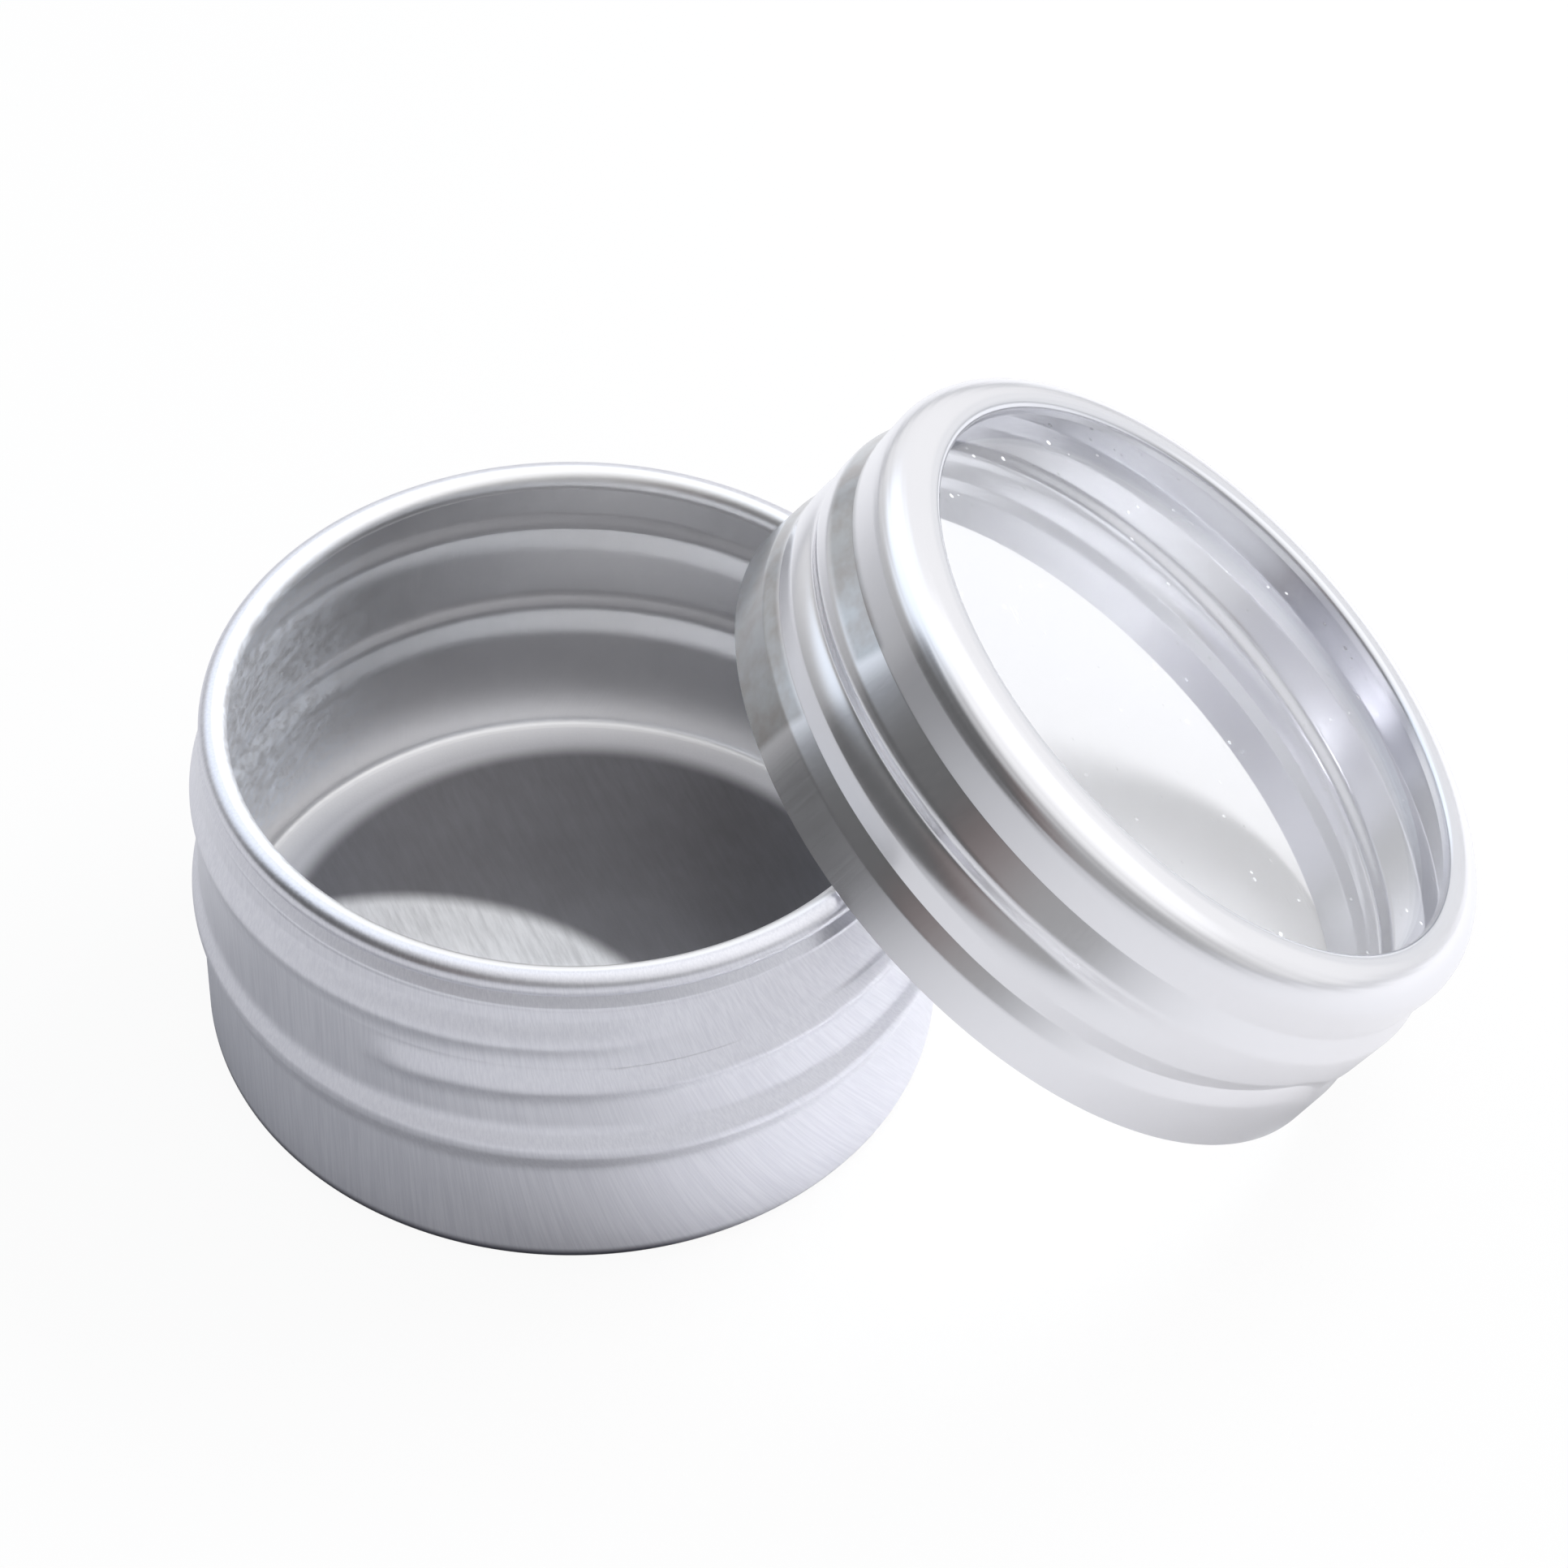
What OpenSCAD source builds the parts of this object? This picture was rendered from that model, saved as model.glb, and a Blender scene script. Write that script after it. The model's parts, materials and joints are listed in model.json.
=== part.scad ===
// Round screw tin with a window lid. The tin stands open and the lid leans against its rim, taken off.
// Origin: centre of the tin's underside. +Z is up along the tin's axis, +X points at the leaning lid.
// Each wall is one sheet of metal: a centre line with rounded bends, given its thickness and revolved.

/* [Sheet] */
// Thickness of the metal sheet of the tin and the lid
sheet = 0.3; // [0.25:0.05:0.4]
// Radius of the small bends, measured on the sheet's centre line
bend_r = 0.3; // [0.25:0.05:0.4]

/* [Tin] */
// Height of the tin from its underside to the top of the curled rim
tin_h = 19.7; // [18.2:0.1:30]
// Outer radius of the plain lower wall
wall_r = 18.6; // [18.3:0.1:22]
// Outer radius of the bottom corner
foot_r = 1.2; // [0.8:0.1:2]
// How far the stop bead stands out from the lower wall
bead_out = 0.4; // [0.2:0.1:0.8]
// Height of the stop bead along the wall
bead_h = 2.8; // [2.4:0.2:3.4]
// Depth of the middle of the stop bead below the rim
bead_drop = 11.2; // [10.8:0.1:13]
// How far the neck is drawn in from the lower wall
neck_in = 0.45; // [0.2:0.05:0.6]
// Outer radius of the curled rim's tube
curl_r = 0.7; // [0.65:0.05:0.9]
// How far the curled rim lies inside the neck
curl_in = 0.1; // [0:0.05:0.3]

/* [Thread] */
// How far a thread ring stands out from the neck
thread_out = 0.6; // [0.3:0.05:0.8]
// Height of a thread ring along the wall
thread_h = 2.2; // [1.8:0.1:2.6]
// Step from one thread ring to the next
thread_pitch = 2.9; // [2.7:0.1:3.2]
// Depth of the first thread ring below the tin's rim
thread_drop = 4.1; // [3.6:0.1:4.4]
// Number of thread rings on the tin, and on the lid
thread_turns = 2; // [1:1:2]

/* [Lid ring] */
// Height of the lid from its open edge to the flange
lid_h = 12; // [11.4:0.1:16]
// Width of the flat flange between the window opening and the shoulder
flange_w = 0.7; // [0.5:0.1:4]
// Depth of the edge turned down round the window opening
lip_h = 0.8; // [0.7:0.1:1]
// Outer radius of the rounded shoulder
shoulder_round = 1.85; // [1.7:0.05:2]
// How far the shoulder is drawn in from the lid's wall
shoulder_in = 0.05; // [0:0.05:0.3]
// Height of the groove that holds the window
groove_h = 2; // [1.4:0.1:2.2]
// Plain wall between the shoulder and the groove
groove_land = 0.15; // [0.1:0.05:0.3]
// How far a thread ring stands out from the lid's wall
lid_thread_out = 0.4; // [0.2:0.05:0.6]
// Depth of the lid's first thread ring below its flange
lid_thread_drop = 4.7; // [4.7:0.1:5]
// Plain wall between the last thread ring and the step
step_land = 0.3; // [0.3:0.1:1]
// Height of the sloping step above the skirt
step_h = 0.6; // [0.4:0.1:0.8]
// How much wider the skirt is at the step than at its open edge
skirt_flare = 0.1; // [0:0.05:0.4]

/* [Window] */
// Thickness of the clear disc
disc_t = 0.5; // [0.3:0.1:0.7]

/* [Fits] */
// Gap between the lid's wall and the tin's thread rings, on the radius
thread_gap = 0.1; // [0.05:0.05:0.3]
// Gap between the skirt's open edge and the tin's stop bead, on the radius
skirt_gap = 0.2; // [0.05:0.05:0.5]
// Gap between the edge of the clear disc and the wall round it, on the radius
disc_side_gap = 0.1; // [0.05:0.01:0.15]
// Gap between the clear disc and the shoulder over its edge
disc_gap = 0.2; // [0.15:0.05:0.3]
// How far the groove reaches in under the edge of the disc
disc_catch = 0.3; // [0.1:0.05:0.4]

/* [Leaning lid] */
// Angle between the lid's open side and the surface that the tin stands on
lean = 35.8; // [25:0.1:50]
// Gap left where the lid rests on the rim
lean_gap = 0.1; // [0.05:0.05:0.3]
// Gap left where the lid's edge rests on the surface
table_gap = 0.02; // [0.01:0.01:0.1]

/* [Hidden] */
$fn = 128;
half = sheet / 2;

// Chords in a small bend and in a wide one, and degrees between the points of the rim's curl
bend_steps = 3;
wide_steps = 6;
curl_step = 20;
// The curl starts below its own middle, outside, and ends above the inner wall
curl_start = -50;
curl_end = 240;
// Flat width on top of the stop bead and of a thread ring
crest_w = 0.4;
// Height of the slope from the neck in under the curl
under_curl_h = 0.8;

// Tin, outer sizes
bead_r = wall_r + bead_out;
bead_z = tin_h - bead_drop;
neck_r = wall_r - neck_in;
crest_r = neck_r + thread_out;
curl_x = neck_r - curl_in - curl_r;
curl_z = tin_h - curl_r;

// Lid, outer sizes: the wall clears the tin's thread rings and the skirt clears its stop bead
lid_wall_r = crest_r + thread_gap + sheet;
lid_crest_r = lid_wall_r + lid_thread_out;
skirt_r = bead_r + skirt_gap + sheet;
step_r = skirt_r + skirt_flare;
shoulder_r = lid_wall_r - shoulder_in;
window_r = shoulder_r - shoulder_round - flange_w;
step_z = lid_h - lid_thread_drop - (thread_turns - 1) * thread_pitch - thread_h / 2 - step_land;

// Window: the edge of the disc lies inside the shoulder's round, as high as the round lets it
disc_r = shoulder_r - sheet - disc_side_gap;
inner_round = shoulder_round - sheet;
disc_top = shoulder_round - sqrt(pow(inner_round, 2) - pow(inner_round - disc_side_gap, 2)) + disc_gap;
disc_z = lid_h - disc_top - disc_t;
groove_r = disc_r - disc_catch + sheet;
groove_top = max(shoulder_round + groove_land, disc_top + disc_t);
groove_z = lid_h - groove_top - groove_h / 2;

// Leaning lid: its open edge rests on the surface and, inside, on the tin's rim at two points
lean_z = skirt_r * sin(lean) + table_gap;
edge_r = skirt_r - sheet;
// Half width that the tin needs at height z, with the gap round it
function tin_reach(z) =
    z > tin_h + lean_gap ? 0
    : z > curl_z ? curl_x + sqrt(pow(curl_r + lean_gap, 2) - pow(z - curl_z, 2))
    : z > curl_z - curl_r ? curl_x + curl_r + lean_gap
    : bead_r + lean_gap;
// Distance that keeps the point at angle a of the lid's edge clear of the tin
function edge_x(a) =
    let (y = edge_r * cos(a), reach = tin_reach(lean_z + edge_r * sin(a) * sin(lean)))
    edge_r * sin(a) * cos(lean) + (reach > y ? sqrt(reach * reach - y * y) : 0);
lean_x = max([for (a = [0:0.25:90]) edge_x(a)]);

function unit(v) = v / norm(v);

// Bend at corner b of the path a, b, c, with the radius in b's third number
function bend(a, b, c) =
    let (
        p = [b[0], b[1]],
        u = unit([a[0], a[1]] - p),
        w = unit([c[0], c[1]] - p),
        inside = acos(u * w),
        middle = p + unit(u + w) * b[2] / sin(inside / 2),
        from = p + u * b[2] / tan(inside / 2) - middle,
        start = atan2(from[1], from[0]),
        turn = (180 - inside) * sign(u[1] * w[0] - u[0] * w[1]),
        steps = b[2] > 2 * bend_r ? wide_steps : bend_steps
    )
    [for (i = [0:steps])
        middle + b[2] * [cos(start + turn * i / steps), sin(start + turn * i / steps)]];

// Centre line through a path of [radius, height, bend radius]
function rounded(path) =
    [for (i = [0:len(path) - 1])
        each (path[i][2] > 0 ? bend(path[i - 1], path[i], path[i + 1]) : [[path[i][0], path[i][1]]])];

// Points beside a centre line, off to its left
function beside(line, off) =
    [for (i = [0:len(line) - 1])
        let (
            to = unit(line[min(i + 1, len(line) - 1)] - line[min(i, len(line) - 2)]),
            from = unit(line[max(i, 1)] - line[max(i - 1, 0)]),
            mean = unit(to + from)
        )
        line[i] + off / (mean * to) * [-mean[1], mean[0]]];

function reversed(list) = [for (i = [len(list) - 1:-1:0]) list[i]];

// Sheet metal revolved about the axis, from its centre line
module spun(line) {
    rotate_extrude()
        polygon(concat(beside(line, half), reversed(beside(line, -half))));
}

// Path over one ring that stands out from a wall, from its lower end to its upper end
function ring_path(low_r, top_r, high_r, z, h) = [
    [low_r - half, z - h / 2, bend_r],
    [top_r - half, z - crest_w / 2, bend_r],
    [top_r - half, z + crest_w / 2, bend_r],
    [high_r - half, z + h / 2, bend_r]
];

// Drawn can: floor, wall, stop bead, neck with its thread rings, and the rim curled inwards
module tin_body() {
    wall = [
        [0, half, 0],
        [wall_r - half, half, foot_r - half]
    ];
    bead = ring_path(wall_r, bead_r, neck_r, bead_z, bead_h);
    rings = [for (i = [thread_turns - 1:-1:0])
        each ring_path(neck_r, crest_r, neck_r, tin_h - thread_drop - i * thread_pitch, thread_h)];
    neck_top = [[neck_r - half, curl_z - curl_r - under_curl_h / 2, bend_r]];
    tube_r = curl_r - half;
    curl = [for (a = [curl_start:curl_step:curl_end])
        [curl_x + tube_r * cos(a), curl_z + tube_r * sin(a), 0]];
    color("silver")
        spun(rounded(concat(wall, bead, rings, neck_top, curl)));
}

// Puts a piece of the lid, drawn upright on its open edge, where the lid leans
module leaning() {
    translate([lean_x, 0, lean_z])
        rotate([0, lean, 0])
            children();
}

// Spun lid ring: lip, flange, shoulder, groove under the window, thread rings, step and skirt
module lid_ring() {
    shoulder = [
        [window_r + half, lid_h - lip_h, 0],
        [window_r + half, lid_h - half, bend_r],
        [shoulder_r - half, lid_h - half, shoulder_round - half],
        [shoulder_r - half, lid_h - groove_top, bend_r / 2],
        [groove_r - half, groove_z, bend_r]
    ];
    rings = [for (i = [0:thread_turns - 1])
        each reversed(ring_path(lid_wall_r, lid_crest_r, lid_wall_r,
            lid_h - lid_thread_drop - i * thread_pitch, thread_h))];
    skirt = [
        [lid_wall_r - half, step_z, bend_r],
        [step_r - half, step_z - step_h, bend_r],
        [skirt_r - half, 0, 0]
    ];
    color("gainsboro")
        leaning()
            spun(rounded(concat(shoulder, rings, skirt)));
}

// Clear disc that shows what the tin holds
module window_disc() {
    color([0.85, 0.9, 0.95, 0.35])
        leaning()
            translate([0, 0, disc_z])
                cylinder(r = disc_r, h = disc_t);
}

tin_body();
lid_ring();
window_disc();
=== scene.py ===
import json
import math

import bpy
from mathutils import Matrix, Vector


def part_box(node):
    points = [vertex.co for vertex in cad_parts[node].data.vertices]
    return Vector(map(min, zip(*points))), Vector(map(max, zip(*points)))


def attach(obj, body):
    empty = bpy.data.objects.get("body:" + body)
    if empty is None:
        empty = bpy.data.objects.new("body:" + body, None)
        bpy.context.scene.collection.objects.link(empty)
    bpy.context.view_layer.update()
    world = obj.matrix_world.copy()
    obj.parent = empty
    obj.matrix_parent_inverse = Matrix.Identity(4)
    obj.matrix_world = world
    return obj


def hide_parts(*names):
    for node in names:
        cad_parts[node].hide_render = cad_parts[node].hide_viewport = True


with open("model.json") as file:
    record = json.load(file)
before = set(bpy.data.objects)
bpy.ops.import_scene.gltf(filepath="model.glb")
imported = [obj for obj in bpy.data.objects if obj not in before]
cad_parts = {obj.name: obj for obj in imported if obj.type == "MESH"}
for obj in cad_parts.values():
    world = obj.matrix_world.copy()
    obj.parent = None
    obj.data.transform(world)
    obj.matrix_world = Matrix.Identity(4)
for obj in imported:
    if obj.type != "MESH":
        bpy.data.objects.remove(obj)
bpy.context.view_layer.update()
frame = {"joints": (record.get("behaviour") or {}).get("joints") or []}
scene = bpy.context.scene
MM = 0.001


# Camera: a long lens over the front of the tin, looking down at about 45 degrees.
# Its place is given in the tin's own frame and its turns in radians, the lens in millimetres
# of a 36 mm sensor.
camera_place = Vector((-4.067, -141.422, 158.468)) * MM
camera_yaw = -0.1017
camera_pitch = -0.7941
camera_roll = -0.0535
camera_lens = 94.24
sensor_w = 36.0

camera_data = bpy.data.cameras.new("camera")
camera_data.sensor_width = sensor_w
camera_data.lens = camera_lens
camera_data.clip_start = 0.01
camera_data.clip_end = 20.0
camera = bpy.data.objects.new("camera", camera_data)
scene.collection.objects.link(camera)
camera.matrix_world = (
    Matrix.Translation(camera_place)
    @ Matrix.Rotation(camera_yaw, 4, "Z")
    @ Matrix.Rotation(math.pi / 2 + camera_pitch, 4, "X")
    @ Matrix.Rotation(-camera_roll, 4, "Z")
)
scene.camera = camera
scene.view_settings.view_transform = "Standard"


# Drawn can: one piece of aluminium sheet, drawn to a cup, with a stop bead, a rolled thread
# in its neck and the rim curled inwards. Its wall is brushed, its inside is left half bright.
# It stands on its flat bottom. The sizes are in millimetres.
sheet = 0.3
half = sheet / 2
tin_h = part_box("tin_body")[1].z / MM
bead_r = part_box("tin_body")[1].x / MM
bead_out = 0.4
wall_r = bead_r - bead_out
foot_r = 0.75

# Stop bead: its middle's depth below the rim, its height, its flat crest and its bends
bead_drop = 11.2
bead_h = 2.8
bead_crest = 0.4
bead_bend = 2.4
bead_crest_bend = 1.0

# Neck: the wall over the bead, drawn in from one depth below the rim to another
upper_r = wall_r - 0.03
upper_drop = 5.4
upper_bend = 1.2
neck_r = wall_r - 0.45
neck_drop = 2.0
neck_bend = 0.9

# Rim: a tube curled inwards, from a first angle to a last one in steps of degrees
curl_r = 0.7
curl_in = 0.1
curl_x = neck_r - curl_in - curl_r
under_curl = 0.4
under_curl_bend = 0.3
curl_start = -50
curl_end = 240
curl_step = 10

# Longest steps of the section: on the wall, on the flat floor, and how wide the finer part is
wall_step = 0.2
floor_step = 1.2
fine_w = 2


class Value:
    """A socket in a node tree, so that sums can be written as Python expressions."""

    def __init__(self, tree, socket=None):
        self.tree = tree
        self.socket = socket

    def node(self, kind, settings=None, inputs=None, output=0):
        """Adds a node with its settings and inputs, and gives one of its outputs."""
        made = self.tree.nodes.new(kind)
        for name, setting in (settings or {}).items():
            setattr(made, name, setting)
        for name, given in (inputs or {}).items():
            if isinstance(given, Value):
                self.tree.links.new(given.socket, made.inputs[name])
            else:
                made.inputs[name].default_value = given
        return Value(self.tree, made.outputs[output] if made.outputs else None)

    def outputs(self):
        """All outputs of the node that this value comes from, by name."""
        return {out.name: Value(self.tree, out) for out in self.socket.node.outputs if out.name}

    def math(self, operation, *others):
        """A Math node on this value and the others."""
        return self.node("ShaderNodeMath", {"operation": operation}, dict(enumerate((self, *others))))

    def __add__(self, other):
        return self.math("ADD", other)

    def __sub__(self, other):
        return self.math("SUBTRACT", other)

    def __rsub__(self, other):
        return self.math("MULTIPLY_ADD", -1.0, other)

    def __mul__(self, other):
        return self.math("MULTIPLY", other)

    def __truediv__(self, other):
        return self.math("DIVIDE", other)

    __radd__ = __add__
    __rmul__ = __mul__

    def smooth(self, low, high):
        """0 up to low, 1 from high on and a smooth step between them."""
        return self.node("ShaderNodeMapRange", {"interpolation_type": "SMOOTHSTEP"},
                         {"Value": self, "From Min": low, "From Max": high})

    def fade(self, low, high):
        """1 up to low, 0 from high on and a smooth step between them."""
        return 1.0 - self.smooth(low, high)

    def length(self, other):
        """Length of a vector whose two sides are this value and the other."""
        return (self * self + other * other).math("SQRT")

    def split(self):
        """The X, Y and Z of a vector."""
        parts = self.node("ShaderNodeSeparateXYZ", {}, {0: self}).outputs()
        return parts["X"], parts["Y"], parts["Z"]

    def joined(self, x, y, z):
        """A vector made of three values."""
        return self.node("ShaderNodeCombineXYZ", {}, {0: x, 1: y, 2: z})

    def dot(self, other):
        """Dot product of two vectors."""
        return self.node("ShaderNodeVectorMath", {"operation": "DOT_PRODUCT"}, {0: self, 1: other}, "Value")

    def mix(self, low, high):
        """Colour low where this value is 0 and colour high where it is 1."""
        return self.node("ShaderNodeMix", {"data_type": "RGBA"}, {0: self, 6: low, 7: high}, 2)

    def blend(self, low, high):
        """Shader low where this value is 0 and shader high where it is 1."""
        return self.node("ShaderNodeMixShader", {}, {0: self, 1: low, 2: high})

    def grain(self, x, y, z, seed, detail=3.0):
        """Noise on three coordinates, each already scaled to its own fineness."""
        return self.node("ShaderNodeTexNoise", {"noise_dimensions": "4D"}, {
            "Vector": self.joined(x, y, z), "W": seed, "Scale": 1.0, "Detail": detail, "Roughness": 0.6})


def bend(before, corner, after, radius, steps=8):
    """Points of the round bend at a corner of a path."""
    corner = Vector(corner)
    back = (Vector(before) - corner).normalized()
    ahead = (Vector(after) - corner).normalized()
    inside = back.angle(ahead)
    middle = corner + (back + ahead).normalized() * radius / math.sin(inside / 2)
    start = corner + back * radius / math.tan(inside / 2) - middle
    turn = (math.pi - inside) * math.copysign(1, back.y * ahead.x - back.x * ahead.y)
    first = math.atan2(start.y, start.x)
    return [middle + radius * Vector((math.cos(a), math.sin(a)))
            for a in (first + turn * i / steps for i in range(steps + 1))]


def centre_line(path, longest):
    """Centre line of the sheet through [radius, height, bend radius] points.

    No step is longer than longest gives for its first point.
    """
    line = []
    for i, (r, z, radius) in enumerate(path):
        if radius:
            line += bend(path[i - 1][:2], (r, z), path[i + 1][:2], radius)
        else:
            line.append(Vector((r, z)))
    same_point = 1e-4
    fine = [line[0]]
    for point in line[1:]:
        start = fine[-1]
        if (point - start).length < same_point:
            continue
        count = max(1, math.ceil((point - start).length / longest(start)))
        fine += [start.lerp(point, (i + 1) / count) for i in range(count)]
    return fine


def beside(line, off):
    """Points beside a line, off to its left."""
    side = []
    for i, point in enumerate(line):
        ahead = (line[min(i + 1, len(line) - 1)] - line[min(i, len(line) - 2)]).normalized()
        back = (line[max(i, 1)] - line[max(i - 1, 0)]).normalized()
        mean = (ahead + back).normalized()
        side.append(point + Vector((-mean.y, mean.x)) * off / mean.dot(ahead))
    return side


def section_of(line):
    """Outline of the sheet round its centre line, as a mesh of points in the XZ plane."""
    outline = beside(line, -half) + beside(line, half)[::-1]
    mesh = bpy.data.meshes.new("section")
    mesh.from_pydata([(p.x * MM, 0, p.y * MM) for p in outline], [], [])
    return mesh, len(outline)


def spun_tree():
    """Geometry nodes that spin a sheet-metal section round Z, roll a thread into it and lean the result."""
    tree = bpy.data.node_groups.new("spun_sheet", "GeometryNodeTree")
    tree.is_modifier = True
    face = tree.interface
    for name, kind in (
        ("Section", "Geometry"),
        ("Section Points", "Int"),
        ("Divisions", "Int"),
        ("Thread Pitch", "Float"),
        ("Thread Depth", "Float"),
        ("Upper Side", "Float"),
        ("Lower Side", "Float"),
        ("Thread Foot", "Float"),
        ("Thread Start", "Float"),
        ("Thread Turns", "Float"),
        ("Start Fade", "Float"),
        ("End Fade", "Float"),
        ("Run Out", "Float"),
        ("Run Out Height", "Float"),
        ("Run Out End", "Float"),
        ("Unevenness", "Float"),
        ("Lean", "Rotation"),
        ("Place", "Vector"),
        ("Finish", "Material"),
    ):
        face.new_socket(name, in_out="INPUT", socket_type="NodeSocket" + kind)
    face.new_socket("Metal", in_out="OUTPUT", socket_type="NodeSocketGeometry")
    start = Value(tree)
    given = start.node("NodeGroupInput").outputs()

    # Grid: one column for each division, one row for each point of the section, closed onto itself
    points = given["Section Points"]
    position = start.node("GeometryNodeInputPosition")
    grid = start.node("GeometryNodeMeshGrid", {}, {
        "Size X": 1.0, "Size Y": 1.0, "Vertices X": given["Divisions"] + 1, "Vertices Y": points + 1})
    u, v, _ = position.split()
    angle = (u + 0.5) * math.tau
    number = ((v + 0.5) * points).math("ROUND").math("FLOORED_MODULO", points)
    radius, _, height = start.node("GeometryNodeSampleIndex", {"data_type": "FLOAT_VECTOR"}, {
        "Geometry": given["Section"], "Value": position, "Index": number}).split()
    cosine = angle.math("COSINE")
    sine = angle.math("SINE")

    # Thread: turns counts up along the helix from its lower end, which lies at Thread Start.
    # Above its crest the ridge fades in a smooth step, and below it in a curve with a rounded corner
    corner = 0.2
    around = ((angle - given["Thread Start"]) / math.tau).math("FLOORED_MODULO", 1.0)
    nearest = ((height - given["Thread Foot"]) / given["Thread Pitch"] - around).math("ROUND")
    turns = nearest + around
    off = height - given["Thread Foot"] - turns * given["Thread Pitch"]
    above = (off / given["Upper Side"]).fade(0.0, 1.0)
    below = (off / given["Lower Side"] + 1.0).math("MAXIMUM", 0.0).math("SMOOTH_MIN", 1.0, corner)
    ridge = above * below * below
    run_in = turns.smooth(0.0, given["Start Fade"])
    run_out = turns.fade(given["Thread Turns"] - given["End Fade"], given["Thread Turns"])
    thread = ridge * run_in * run_out * given["Thread Depth"]

    # Run-out: near Run Out End the forms at Run Out Height climb the wall, as the rolling tool left it.
    # They climb over one part of a turn and fall back over a shorter one, within climb_reach of that height
    climb_turns = 0.16
    fall_turns = 0.05
    climb_reach = 3.0 * MM
    past = ((angle - given["Run Out End"]) / math.tau + 0.5).math("FLOORED_MODULO", 1.0) - 0.5
    near_end = (past / climb_turns + 1.0).math("MAXIMUM", 0.0)
    beyond = ((height - given["Run Out Height"]) / climb_reach).math("ABSOLUTE")
    climb = given["Run Out"] * near_end * near_end * past.fade(0.0, fall_turns) * beyond.fade(0.0, 1.0)

    # Slight unevenness of spun sheet, the same on both of its faces and none at the floor's middle
    lobe_around = 1.1
    lobe_up = 99.0
    lobes = start.grain(cosine * lobe_around, sine * lobe_around, height * lobe_up, 0.0, 2.0)
    drift = (lobes - 0.5) * given["Unevenness"] * radius.smooth(5 * MM, 16 * MM)
    r = radius + thread + drift
    shaped = start.node("GeometryNodeSetPosition", {}, {
        "Geometry": grid, "Position": start.joined(r * cosine, r * sine, height + climb)})
    weld = 0.002 * MM
    welded = start.node("GeometryNodeMergeByDistance", {}, {"Geometry": shaped, "Distance": weld})
    leaned = start.node("GeometryNodeTransform", {}, {
        "Geometry": welded, "Translation": given["Place"], "Rotation": given["Lean"]})
    smooth = start.node("GeometryNodeSetShadeSmooth", {}, {"Geometry": leaned})
    whole = start.node("GeometryNodeRealizeInstances", {}, {"Geometry": smooth})
    finished = start.node("GeometryNodeSetMaterial", {}, {"Geometry": whole, "Material": given["Finish"]})
    start.node("NodeGroupOutput", {}, {"Metal": finished})
    return tree


def spun(name, line, tree, finish, sizes):
    """Runs the spinning tree on a centre line and gives the result as a plain mesh object."""
    mesh, count = section_of(line)
    raw = bpy.data.objects.new(name + "_raw", mesh)
    scene.collection.objects.link(raw)
    maker = raw.modifiers.new("spin", "NODES")
    maker.node_group = tree
    values = {"Section Points": count, "Finish": finish, **sizes}
    for item in tree.interface.items_tree:
        if item.in_out == "INPUT" and item.name in values:
            maker[item.identifier] = values[item.name]
    made = bpy.data.meshes.new_from_object(
        raw.evaluated_get(bpy.context.evaluated_depsgraph_get()))
    raw.modifiers.remove(maker)
    bpy.data.objects.remove(raw)
    made.name = name
    sharp_edge = math.radians(50)
    made.set_sharp_from_angle(angle=sharp_edge)
    piece = bpy.data.objects.new(name, made)
    scene.collection.objects.link(piece)
    return piece


def blank(name):
    """A new material with an empty tree, and a value to start its nodes from."""
    material = bpy.data.materials.new(name)
    material.use_nodes = True
    material.node_tree.nodes.clear()
    return material, Value(material.node_tree)


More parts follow.
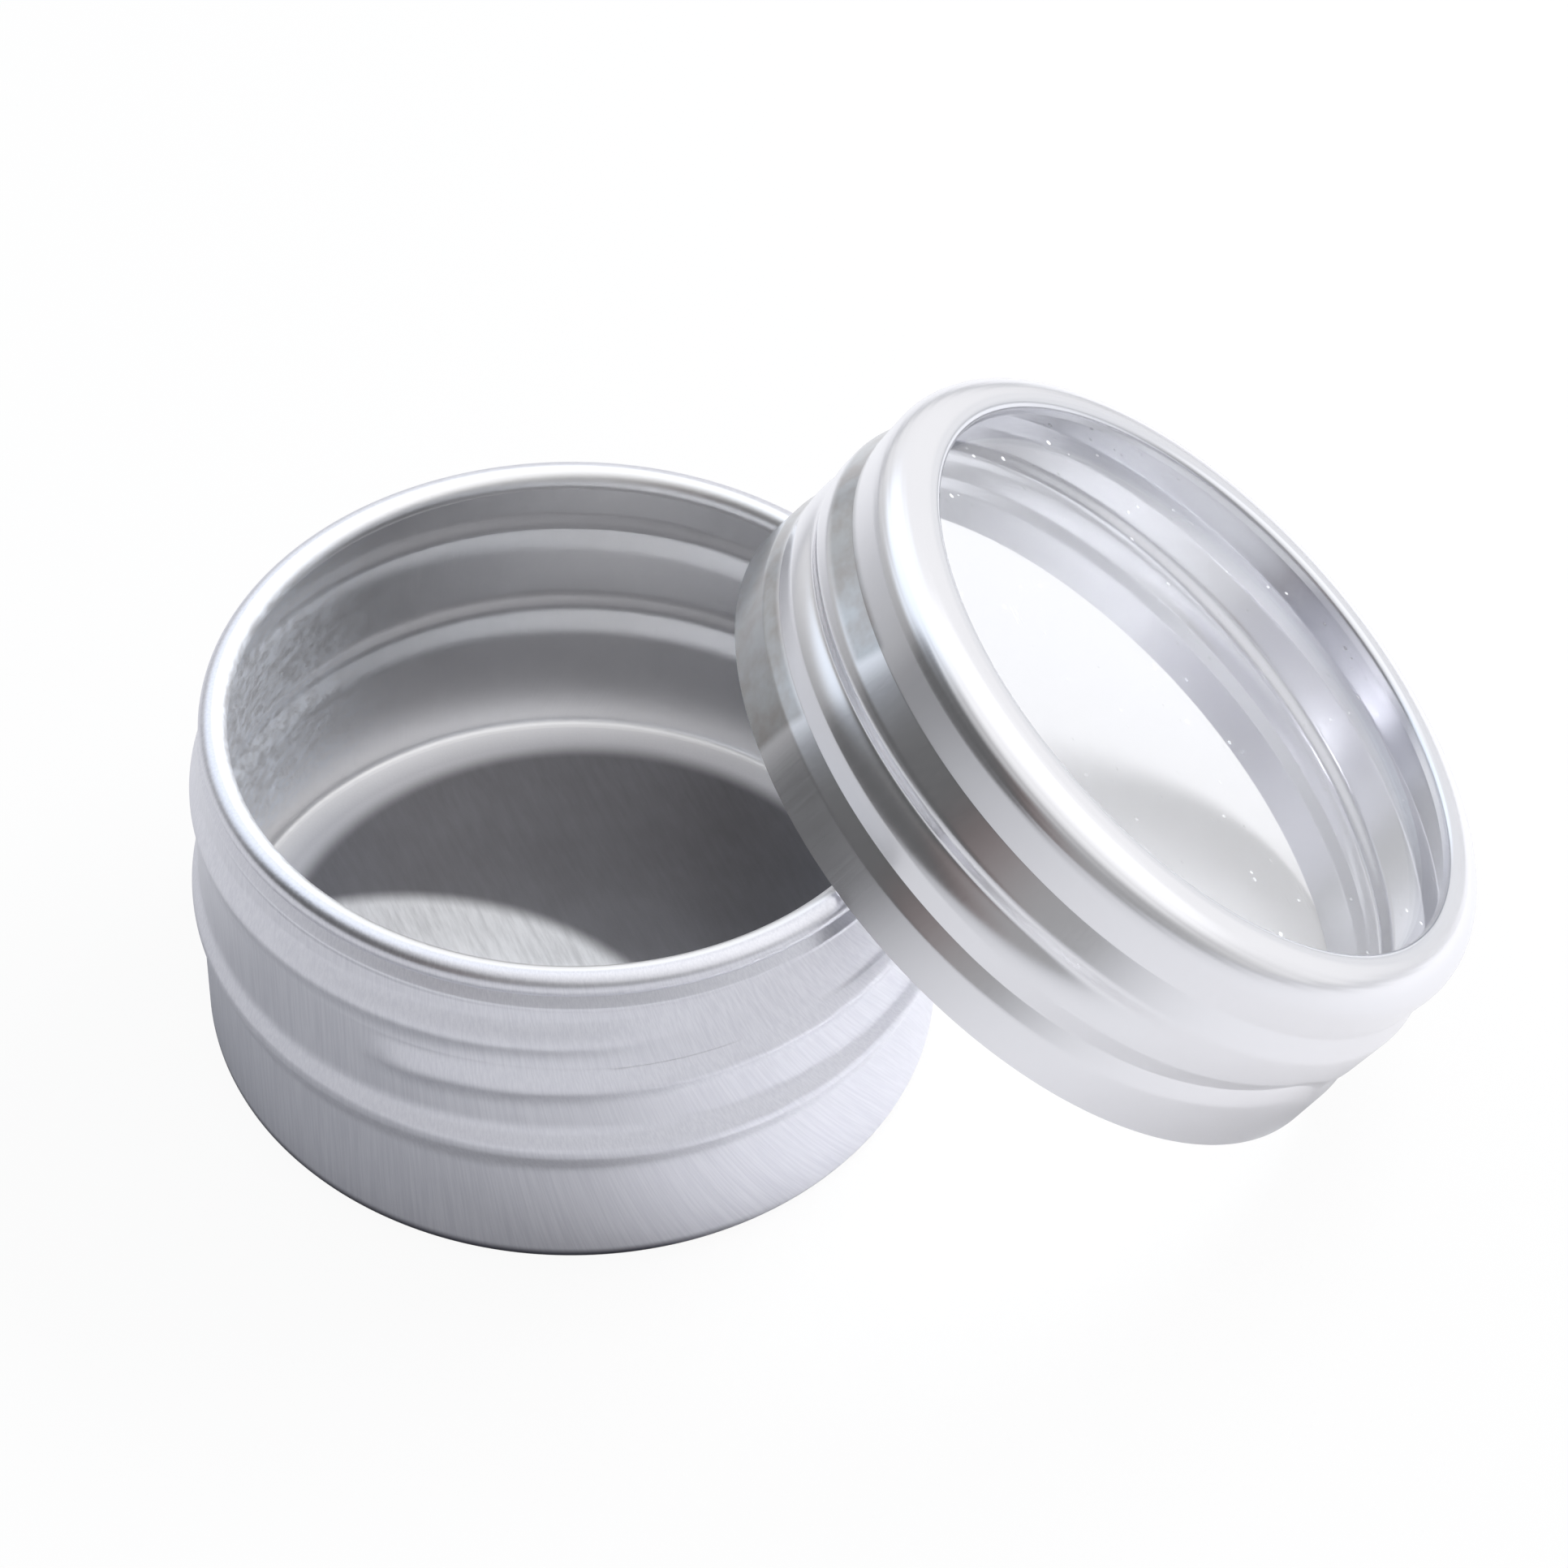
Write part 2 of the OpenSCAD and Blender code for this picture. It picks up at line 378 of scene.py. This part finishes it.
def can_finish():
    """Brushed aluminium with fine lines, half bright and scuffed inside, with painted shade and a painted
    pool of lamp light on its bottom and a painted contact shadow at its foot.
    """
    line_dark = (0.67, 0.67, 0.72, 1.0)
    line_bright = (0.80, 0.80, 0.84, 1.0)
    inside_dark = (0.92, 0.915, 0.92, 1.0)
    inside_bright = (0.98, 0.975, 0.98, 1.0)
    scuff_pale = (0.86, 0.90, 0.97, 1.0)
    # Painted shade and a painted pool of lamp light for the bottom
    bottom_shade_dark = (0.13, 0.125, 0.13, 1.0)
    bottom_shade_light = (0.28, 0.28, 0.30, 1.0)
    painted_lamp_pool_white = (0.97, 0.97, 0.98, 1.0)
    # Painted contact shadow for the front of the foot
    painted_contact_shadow_grey = (0.06, 0.06, 0.09, 1.0)

    material, start = blank("brushed_can")
    place = start.node("ShaderNodeTexCoord", output="Object")
    x, y, z = place.split()
    facing = start.node("ShaderNodeNewGeometry", output="Normal")
    _, _, upward = facing.split()
    outward = facing.dot(start.joined(x, y, 0.0))
    inside = outward.fade(-0.002, 0.002)

    # Brush lines: the pattern is turned about Z with height, upright on the left and slanting
    # on the +X side, where it turns by this many radians for each metre of height
    slant_turn = 38.0
    slant = x.smooth(-0.012, 0.014) * z * slant_turn
    turned_x = x * slant.math("COSINE") - y * slant.math("SINE")
    turned_y = x * slant.math("SINE") + y * slant.math("COSINE")
    lines = start.grain(turned_x * 7000.0, turned_y * 7000.0, z * 220.0, 1.0)
    clouds = start.grain(x * 160.0, y * 160.0, z * 120.0, 4.0)
    drawn = lines.smooth(0.3, 0.7) * 0.65 + clouds * 0.35
    metal = drawn.mix(line_dark, line_bright)
    half_bright = clouds.mix(inside_dark, inside_bright)

    # Scuffs: fine slanting marks on the left of the inner wall, which take light from above
    scuffs = start.grain(x * 300.0, y * 1300.0 + z * 900.0, z * 1900.0 - y * 900.0, 9.0).smooth(0.35, 0.7)
    scuffed = inside * x.fade(-0.0165, -0.007) * z.smooth(0.001, 0.003) * (scuffs * 0.6 + 0.4)
    inner = scuffed.mix(half_bright, scuff_pale)

    # Bottom: painted dark inside its edge as the shade inside the tin, with a round pool of the lamp's
    # light painted bright at the front left, its edge where the rim's shadow falls
    bottom_x = 0.5 * MM
    lamp_pool_x = -9.3 * MM
    lamp_pool_y = -11.1 * MM
    from_middle = (x - bottom_x).length(y)
    on_bottom = upward.smooth(0.5, 0.9) * z.fade(0.0005, 0.0012) * from_middle.fade(0.0155, 0.0168)
    from_lamp_pool = (x - lamp_pool_x).length(y - lamp_pool_y)
    strokes = start.grain(x * 2600.0 + y * 900.0, y * 420.0, z * 10.0, 7.0)
    # Painted lamp light: the pool inside the circle that the rim's shadow leaves on the bottom, also a
    # little rougher
    painted_lamp_pool = from_lamp_pool.fade(0.0160, 0.0172) * (strokes.smooth(0.2, 0.7) * 0.3 + 0.7)
    # Painted shade: the rest of the bottom is dark as the shadow inside the tin
    painted_bottom_shade = (clouds * 0.6 + strokes * 0.4).mix(bottom_shade_dark, bottom_shade_light)
    painted_bottom = painted_lamp_pool.mix(painted_bottom_shade, painted_lamp_pool_white)

    # Foot: the underside's edge at the front is painted near-black, as the table's contact shadow mirrored
    # in it
    painted_foot_shadow = (1.0 - inside) * z.fade(0.0005, 0.0011) * x.fade(0.002, 0.012)
    outer = painted_foot_shadow.mix(metal, painted_contact_shadow_grey)

    rough = 0.2 + lines * 0.12 + clouds * 0.12 + inside * 0.08 + on_bottom * painted_lamp_pool * 0.15
    bump = start.node("ShaderNodeBump", {}, {"Strength": 0.35, "Distance": 0.02 * MM, "Height": lines})
    shader = start.node("ShaderNodeBsdfPrincipled", {}, {
        "Base Color": on_bottom.mix(inside.mix(outer, inner), painted_bottom),
        "Metallic": 1.0 - scuffed * 0.55,
        "Roughness": rough,
        "Normal": bump})
    start.node("ShaderNodeOutputMaterial", {}, {"Surface": shader})
    return material


def fine_on_wall(point):
    """Longest step of the section at a point: short on the wall, longer on the flat floor."""
    return wall_step if point.x > wall_r - fine_w else floor_step


bead_z = tin_h - bead_drop
tin_path = [
    (0, half, 0),
    (wall_r - half, half, foot_r - half),
    (wall_r - half, bead_z - bead_h / 2, bead_bend),
    (bead_r - half, bead_z - bead_crest / 2, bead_crest_bend),
    (bead_r - half, bead_z + bead_crest / 2, bead_crest_bend),
    (upper_r - half, bead_z + bead_h / 2, bead_bend),
    (upper_r - half, tin_h - upper_drop, upper_bend),
    (neck_r - half, tin_h - neck_drop, neck_bend),
    (neck_r - half, tin_h - 2 * curl_r - under_curl, under_curl_bend),
] + [
    (curl_x + (curl_r - half) * math.cos(math.radians(a)),
     tin_h - curl_r + (curl_r - half) * math.sin(math.radians(a)), 0)
    for a in range(curl_start, curl_end + 1, curl_step)
]
divisions = 256
spin = spun_tree()
tin = spun("tin_drawn_can", centre_line(tin_path, fine_on_wall), spin, can_finish(), {
    "Divisions": divisions,
    "Thread Pitch": 3.0 * MM,
    "Thread Depth": 0.25 * MM,
    "Upper Side": 1.8 * MM,
    "Lower Side": 1.2 * MM,
    "Thread Foot": (tin_h - 7.3) * MM,
    "Thread Start": math.radians(-126),
    "Thread Turns": 1.16,
    "Start Fade": 0.03,
    "End Fade": 0.06,
    "Unevenness": 0.04 * MM,
})
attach(tin, "tin")
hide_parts("tin_body")


# Lid ring: a spun ring of the same sheet. Its top is one broad roll with a short lip turned down round
# the window, then a groove that holds the disc, a rolled thread and a plain skirt with a cut edge.
# It leans on the tin's rim and on the table. Z runs along its axis, up from the skirt's open edge.
lid_turn = next(joint for joint in frame["joints"] if joint["name"] == "lid_turn")
lid_place = Vector(lid_turn["pos_m"])
lid_axis = Vector(lid_turn["axis"])
lean = math.atan2(lid_axis.x, lid_axis.z)
lid_h = 12.0
step_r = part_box("lid_ring")[1].y / MM

# Roll over the window's edge: its flat part, its round and the lip turned down
shoulder_r = step_r - 0.5
shoulder_round = 1.85
roll_r = shoulder_r + 0.08
flange_w = 0.8
window_r = shoulder_r - shoulder_round - flange_w
lip_h = 0.75
lip_bend = 0.25

# Groove, thread wall with its bends, and the neck above the skirt, by their depths below the top
groove_r = 19.0
groove_drop = 3.65
groove_bend = 0.3
crest_r = 19.42
crest_drop = 5.1
crest_bend = 0.9
low_crest_r = crest_r - 0.02
low_crest_drop = 7.8
land_r = crest_r - 0.16
land_drop = 8.95
land_bend = 0.2

# Skirt: it starts below the step and widens a little to its open edge
skirt_r = step_r - 0.1
skirt_drop = 9.9
skirt_bend = 0.9
skirt_flare = 0.07

# Longest step of the ring's section, and the direction in which its thread begins and ends
ring_step = 0.12
thread_end = 207 + 90


def lid_own(start):
    """The lid's own coordinates, from its open edge along its axis, however it leans."""
    place = start.node("ShaderNodeTexCoord", output="Object")
    return start.node("ShaderNodeMapping", {"vector_type": "TEXTURE"}, {
        "Vector": place, "Location": lid_place, "Rotation": (0.0, lean, 0.0)})


def ring_finish():
    """Half bright aluminium, brushed upright, with brown and blue blotches painted on its left as
    reflections of the tin's shaded side.
    """
    line_dark = (0.83, 0.825, 0.85, 1.0)
    line_bright = (0.91, 0.905, 0.93, 1.0)
    # Painted reflection of the tin's shaded side
    reflection_brown = (0.46, 0.44, 0.43, 1.0)
    reflection_blue = (0.56, 0.58, 0.60, 1.0)
    inside_grey = (0.76, 0.765, 0.80, 1.0)

    material, start = blank("polished_ring")
    x, y, z = lid_own(start).split()
    facing = start.node("ShaderNodeNewGeometry", output="Normal")
    outward = facing.dot(start.joined(x * math.cos(lean), y, x * -math.sin(lean)))
    inside = outward.fade(-0.002, 0.002)
    lines = start.grain(x * 6000.0, y * 6000.0, z * 90.0, 2.0)
    clouds = start.grain(x * 200.0, y * 200.0, z * 160.0, 5.0)
    metal = (lines * 0.5 + clouds * 0.5).mix(line_dark, line_bright)

    # Painted reflection: mottled brown and blue where the left side mirrors the tin's shaded wall and the
    # floor between them, in a band low on the skirt and in one over the thread
    reflection_blotches = start.grain(x * 900.0, y * 420.0, z * 560.0, 8.0).smooth(0.3, 0.7)
    mirroring_side = y.smooth(-0.0064, -0.0058) * x.fade(-0.012, -0.006)
    low_band = z.fade(0.0028, 0.0032)
    high_band = z.smooth(0.0068, 0.0073) * z.fade(0.0083, 0.0088)
    painted_reflection_bands = mirroring_side * (low_band + high_band)
    metal_with_painted_reflection = painted_reflection_bands.mix(metal, reflection_blotches.mix(reflection_brown, reflection_blue))

    bump = start.node("ShaderNodeBump", {}, {"Strength": 0.08, "Distance": 0.01 * MM, "Height": lines})
    shader = start.node("ShaderNodeBsdfPrincipled", {}, {
        "Base Color": inside.mix(metal_with_painted_reflection, inside_grey),
        "Metallic": 1.0,
        "Roughness": 0.13 + lines * 0.08 + clouds * 0.08,
        "Normal": bump})
    start.node("ShaderNodeOutputMaterial", {}, {"Surface": shader})
    return material


lid_path = [
    (window_r + half, lid_h - lip_h, 0),
    (window_r + half, lid_h - half, lip_bend),
    (roll_r - half, lid_h - half, shoulder_round - half),
    (groove_r - half, lid_h - groove_drop, groove_bend),
    (crest_r - half, lid_h - crest_drop, crest_bend),
    (low_crest_r - half, lid_h - low_crest_drop, crest_bend),
    (land_r - half, lid_h - land_drop, land_bend),
    (skirt_r - half, lid_h - skirt_drop, skirt_bend),
    (skirt_r + skirt_flare - half, 0, 0),
]
ring = spun("lid_spun_ring", centre_line(lid_path, lambda point: ring_step), spin, ring_finish(), {
    "Divisions": divisions,
    "Thread Pitch": 2.9 * MM,
    "Thread Depth": -0.3 * MM,
    "Upper Side": 0.9 * MM,
    "Lower Side": 1.45 * MM,
    "Thread Foot": (lid_h - 8.55) * MM,
    "Thread Start": math.radians(thread_end),
    "Thread Turns": 0.93,
    "Start Fade": 0.1,
    "End Fade": 0.08,
    "Run Out": 1.6 * MM,
    "Run Out Height": (lid_h - 9.1) * MM,
    "Run Out End": math.radians(thread_end),
    "Unevenness": 0.05 * MM,
    "Lean": (0.0, lean, 0.0),
    "Place": lid_place,
})
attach(ring, "ring")
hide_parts("lid_ring")


# Window disc: clear plastic sheet cut to a disc, snapped up inside the shoulder and held by the groove.
# It carries a little dust and a few fine scratches. The lamp's light passes through it.
disc_t = 0.5
disc_gap = 0.1
disc_r = shoulder_r - sheet - disc_gap
disc_drop = 1.5
disc_top = lid_h - disc_drop
disc_low = disc_top - disc_t


def window_finish():
    """Clear plastic with fine dust, which lets the light through to what lies under it."""
    plastic = (0.96, 0.962, 0.975, 1.0)
    dust_pale = (0.85, 0.85, 0.87, 1.0)
    plastic_shade = (0.93, 0.94, 0.95, 1.0)

    material, start = blank("clear_window")
    own = lid_own(start)
    x, y, z = own.split()
    shader = start.node("ShaderNodeBsdfPrincipled", {}, {
        "Base Color": plastic, "Transmission Weight": 1.0, "Roughness": 0.02, "IOR": 1.49})
    dust = start.node("ShaderNodeBsdfPrincipled", {}, {"Base Color": dust_pale, "Roughness": 0.9})

    # Dust: specks, more of them towards the disc's edge, and long fine scratches
    near_speck = start.node("ShaderNodeTexVoronoi", {"feature": "F1"},
                            {"Vector": own, "Scale": 900.0}, "Distance")
    sparse = start.grain(x * 700.0, y * 700.0, z * 100.0, 3.0).smooth(0.5, 0.66)
    edge = x.length(y).smooth(0.012, 0.0165)
    speck = near_speck.fade(0.08, 0.16) * sparse * (edge * 0.7 + 0.3)
    scratches = start.grain(x * 4000.0 + y * 1500.0, y * 260.0 - x * 90.0, z * 10.0, 6.0)
    scratched = scratches.smooth(0.66, 0.8) * 0.16
    dusty = speck.math("MAXIMUM", scratched).blend(shader, dust)

    clear = start.node("ShaderNodeBsdfTransparent", {}, {"Color": plastic_shade})
    shadow_ray = start.node("ShaderNodeLightPath").outputs()["Is Shadow Ray"]
    start.node("ShaderNodeOutputMaterial", {}, {"Surface": shadow_ray.blend(dusty, clear)})
    return material


def disc_mesh():
    """The disc as a lathe shape with softened edges, leaning with the lid."""
    edge = 0.06
    steps = 192
    sharp_edge = math.radians(30)
    outline = [
        (disc_r - edge, disc_low),
        (disc_r, disc_low + edge),
        (disc_r, disc_top - edge),
        (disc_r - edge, disc_top),
    ]
    turns = [math.tau * i / steps for i in range(steps)]
    points = [(0, 0, disc_low)]
    faces = [(0, 1 + (i + 1) % steps, 1 + i) for i in range(steps)]
    for row, (r, z) in enumerate(outline):
        low = 1 + row * steps
        points += [(r * math.cos(a), r * math.sin(a), z) for a in turns]
        if row:
            faces += [(low - steps + i, low - steps + (i + 1) % steps, low + (i + 1) % steps, low + i)
                      for i in range(steps)]
    faces += [(len(points), low + i, low + (i + 1) % steps) for i in range(steps)]
    points.append((0, 0, disc_top))
    mesh = bpy.data.meshes.new("window_clear_disc")
    mesh.from_pydata([tuple(c * MM for c in p) for p in points], [], faces)
    mesh.transform(Matrix.Translation(lid_place) @ Matrix.Rotation(lean, 4, "Y"))
    mesh.shade_smooth()
    mesh.set_sharp_from_angle(angle=sharp_edge)
    return mesh


disc = bpy.data.objects.new("window_clear_disc", disc_mesh())
disc.data.materials.append(window_finish())
scene.collection.objects.link(disc)
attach(disc, "window")
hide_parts("window_disc")


# Studio: a white table top under one soft lamp, in a room that is plain white to the camera and through
# the window. Metal mirrors a room whose brightness changes with direction, and doesn't mirror the lamp.
table_half = 3.0
table_drop = 0.02 * MM
pure_white = (1.0, 1.0, 1.0, 1.0)


def table_finish():
    """Paper that the camera and the window see mostly as white, so that its shadows stay soft."""
    paper_white = (0.54, 0.54, 0.55, 1.0)
    material, start = blank("table_top")
    paper = start.node("ShaderNodeBsdfDiffuse", {}, {"Color": paper_white})
    white = start.node("ShaderNodeEmission", {}, {"Color": pure_white, "Strength": 1.0})
    ray = start.node("ShaderNodeLightPath").outputs()
    seen = ray["Is Camera Ray"] * 0.94 + ray["Is Transmission Ray"] * 0.25
    start.node("ShaderNodeOutputMaterial", {}, {"Surface": seen.blend(paper, white)})
    return material


table_mesh = bpy.data.meshes.new("table_top")
table_corners = [(-table_half, -table_half, 0), (table_half, -table_half, 0),
                 (table_half, table_half, 0), (-table_half, table_half, 0)]
table_mesh.from_pydata(table_corners, [], [(0, 1, 2, 3)])
table = bpy.data.objects.new("table_top", table_mesh)
table.location.z = -table_drop
table_mesh.materials.append(table_finish())
scene.collection.objects.link(table)

# Lamp: behind the tin on the right, with its place in degrees round Z and down from straight above
lamp_size = (0.07, 0.16)
lamp_power = 0.7
lamp_azimuth = 33
lamp_tilt = 41
lamp_distance = 0.26

lamp = bpy.data.lights.new("soft_lamp", "AREA")
lamp.shape = "RECTANGLE"
lamp.size = lamp_size[0]
lamp.size_y = lamp_size[1]
lamp.energy = lamp_power
lamp_object = bpy.data.objects.new("soft_lamp", lamp)
lamp_object.visible_glossy = False
lamp_object.matrix_world = (
    Matrix.Rotation(math.radians(lamp_azimuth), 4, "Z")
    @ Matrix.Rotation(math.radians(lamp_tilt), 4, "Y")
    @ Matrix.Translation((0, 0, lamp_distance))
)
scene.collection.objects.link(lamp_object)

# Room: its light, and what its lit side, its cool patch and the part overhead add to it
room_light = 0.37
lit_light = 0.64
cool_light = 0.5
overhead_light = 0.32
unlit_loss = 0.68
room_tint = (0.985, 0.99, 1.0, 1.0)
cool_tint = (0.9, 0.97, 1.06, 1.0)
warm_tint = (1.15, 0.93, 0.9, 1.0)

world = bpy.data.worlds.new("studio")
scene.world = world
world.use_nodes = True
world.node_tree.nodes.clear()
sky = Value(world.node_tree)
way = sky.node("ShaderNodeTexCoord", output="Generated")


def towards(azimuth, height):
    """Cosine of the angle between a ray and a fixed direction of the room, given in degrees."""
    a = math.radians(azimuth)
    h = math.radians(height)
    return way.dot((math.cos(h) * math.cos(a), math.cos(h) * math.sin(a), math.sin(h)))


# The unlit side of the room is a dark upright patch, low on the front left, with a faint warm edge.
# It is measured on the horizon, so that its sides stay upright, and its top leans a little
_, _, up = way.split()
level = (1.0 - up * up).math("SQRT")
leaning_up = up + towards(90, 0) * -0.22
across = towards(302, 0) / level
width = across.smooth(-0.74, -0.60) * across.fade(0.20, 0.74) * towards(212, 0).smooth(0.0, 0.1)
unlit = width * leaning_up.fade(0.70, 0.80) * up.smooth(-0.04, 0.02)
warm = (towards(250, 0) / level).smooth(0.85, 0.98) * unlit

# The rest is lit from behind on the right and from overhead, and cooler at the left behind
lit = towards(45, 30).smooth(-0.6, 0.9)
cool = towards(140, 40).smooth(0.72, 0.95) * up.smooth(0.22, 0.5)
overhead = towards(-40, 65).smooth(0.62, 0.85)
glow = room_light + lit * lit_light + cool * cool_light + overhead * overhead_light
tint = warm.mix(cool.mix(room_tint, cool_tint), warm_tint)
room = sky.node("ShaderNodeBackground", {}, {"Color": tint, "Strength": glow * (1.0 - unlit * unlit_loss)})
backdrop = sky.node("ShaderNodeBackground", {}, {"Color": pure_white, "Strength": 1.0})
ray = sky.node("ShaderNodeLightPath").outputs()
seen_white = ray["Is Camera Ray"].math("MAXIMUM", ray["Is Transmission Ray"])
sky.node("ShaderNodeOutputWorld", {}, {"Surface": seen_white.blend(room, backdrop)})
